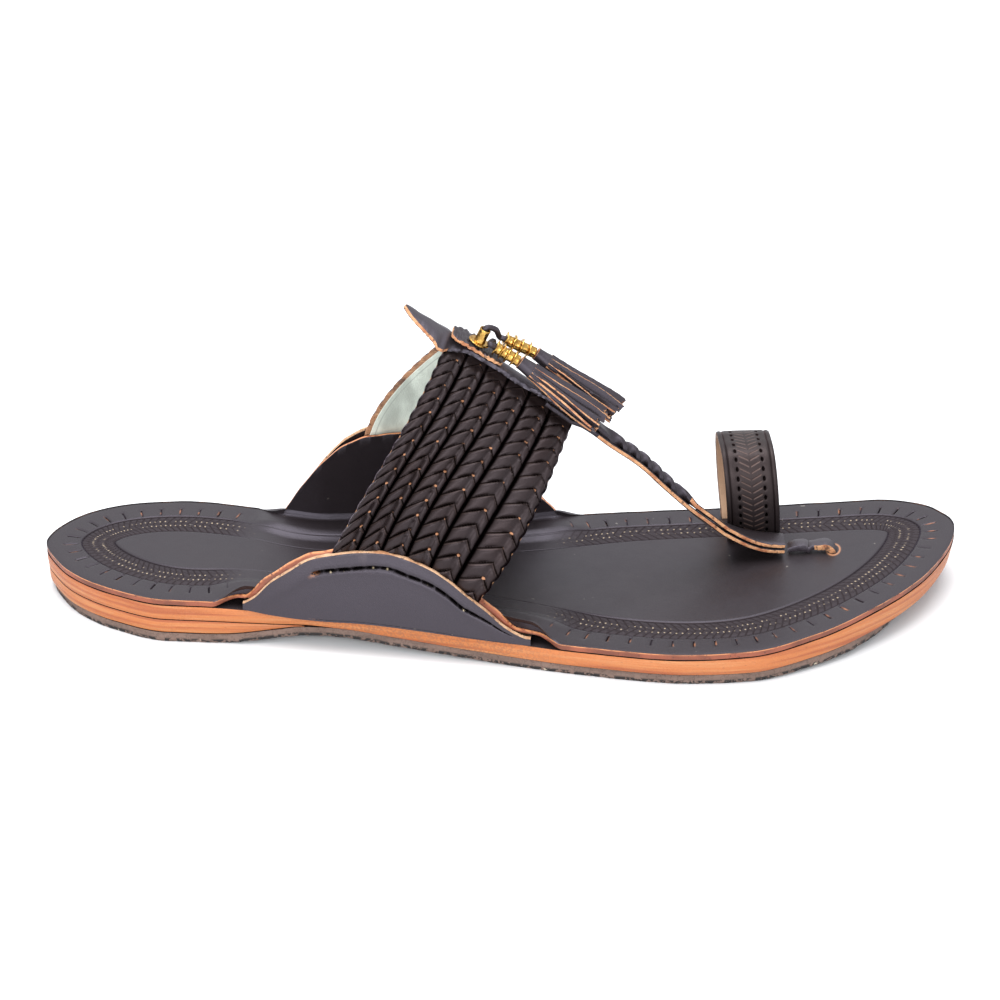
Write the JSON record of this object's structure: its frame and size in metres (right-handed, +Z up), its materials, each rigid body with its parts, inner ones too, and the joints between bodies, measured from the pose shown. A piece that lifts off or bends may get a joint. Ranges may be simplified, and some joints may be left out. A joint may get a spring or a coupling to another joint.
{
  "type": "sandal",
  "caption": "Flat leather sandal for the right foot with a braided instep band, a twisted toe strap, a big-toe ring, brass eyelets and leather tassels",
  "frame": {"origin": "on the floor under the middle of the heel, on the sandal's long line", "axes": "+X to the toe, +Y to the inner side of the right foot, +Z up"},
  "size_m": [0.2696, 0.0944, 0.096],
  "materials": {
    "dark_leather": "satin",
    "tan_leather": "satin",
    "rubber": "matte",
    "brass": "polished"
  },
  "bodies": {
    "root": {"outsole": "rubber", "heel_lift": "tan_leather", "midsole": "tan_leather", "insole": "dark_leather", "outer_ear": "dark_leather", "inner_ear": "dark_leather", "upper": "dark_leather", "centre_strap": "dark_leather", "ruffled_strip": "dark_leather", "toe_ring": "dark_leather", "anchor_lace": "dark_leather", "centre_eyelet": "brass", "outer_lace": "dark_leather", "inner_lace": "dark_leather", "outer_tassel": "dark_leather", "inner_tassel": "dark_leather", "outer_bead_1": "brass", "outer_bead_2": "brass", "outer_bead_3": "brass", "outer_bead_4": "brass", "inner_bead_1": "brass", "inner_bead_2": "brass", "inner_bead_3": "brass", "inner_bead_4": "brass"}
  },
  "joints": []
}
